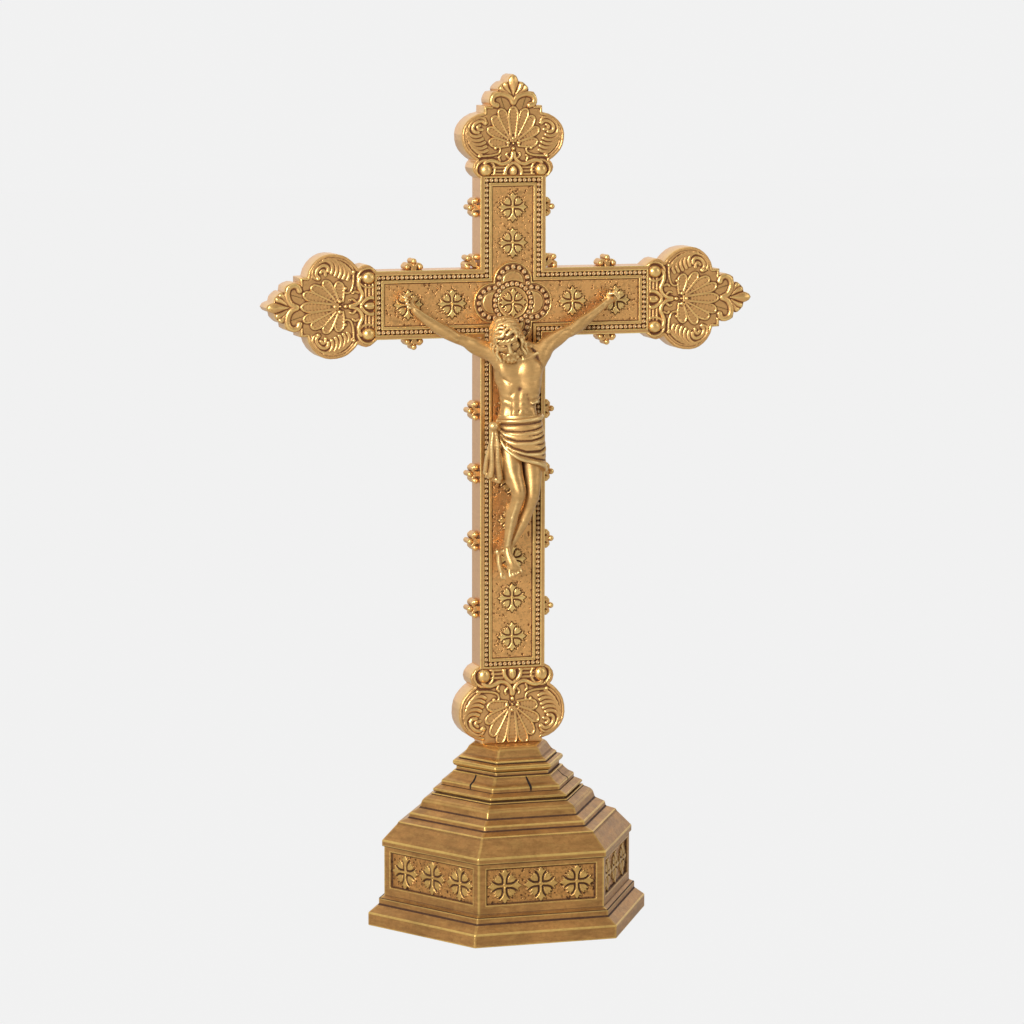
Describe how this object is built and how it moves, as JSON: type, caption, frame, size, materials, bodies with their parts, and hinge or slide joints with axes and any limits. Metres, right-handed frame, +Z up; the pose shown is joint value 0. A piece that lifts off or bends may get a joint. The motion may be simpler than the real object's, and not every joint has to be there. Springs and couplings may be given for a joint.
{
  "type": "standing altar crucifix",
  "caption": "Free-standing altar crucifix: ornate cross with lobed finials, beaded border and rosettes, a draped figure, on a stepped hexagonal base.",
  "frame": {"origin": "centre of the underside of the hexagonal base, on the surface it stands on", "axes": "+Z up along the shaft, front with the figure towards -Y, +X to the viewer's right"},
  "size_m": [0.2368, 0.1196, 0.4],
  "materials": {
    "antique_gold": "aged gold-bronze, satin, dark in the hollows",
    "base_gold": "aged gold-bronze, satin, worn bright on the edges",
    "bright_gold": "polished gold",
    "steel": "plain turned steel",
    "felt": "dense wool felt"
  },
  "bodies": {
    "root": {"felt_pad": "felt", "foot_moulding": "base_gold", "frieze_drum": "base_gold", "frieze_rosettes": "base_gold", "stepped_roof": "base_gold", "upper_tier": "base_gold", "cap": "base_gold", "tie_rod": "steel", "tie_washer": "steel", "tie_nut": "steel", "tier_pins": "steel", "cross_body": "antique_gold", "bead_border": "antique_gold", "medallion": "antique_gold", "medallion_beads": "antique_gold", "panel_rosettes": "antique_gold", "finial_top": "antique_gold", "finial_left": "antique_gold", "finial_right": "antique_gold", "finial_bottom": "antique_gold", "finial_dowels": "steel", "corpus": "bright_gold", "corpus_nails": "bright_gold", "crocket_upper_left": "antique_gold", "crocket_corner_left": "antique_gold", "crocket_shaft_left_1": "antique_gold", "crocket_shaft_left_2": "antique_gold", "crocket_shaft_left_3": "antique_gold", "crocket_shaft_left_4": "antique_gold", "crocket_arm_left_above": "antique_gold", "crocket_arm_left_below": "antique_gold", "crocket_upper_right": "antique_gold", "crocket_corner_right": "antique_gold", "crocket_shaft_right_1": "antique_gold", "crocket_shaft_right_2": "antique_gold", "crocket_shaft_right_3": "antique_gold", "crocket_shaft_right_4": "antique_gold", "crocket_arm_right_above": "antique_gold", "crocket_arm_right_below": "antique_gold"}
  },
  "joints": []
}
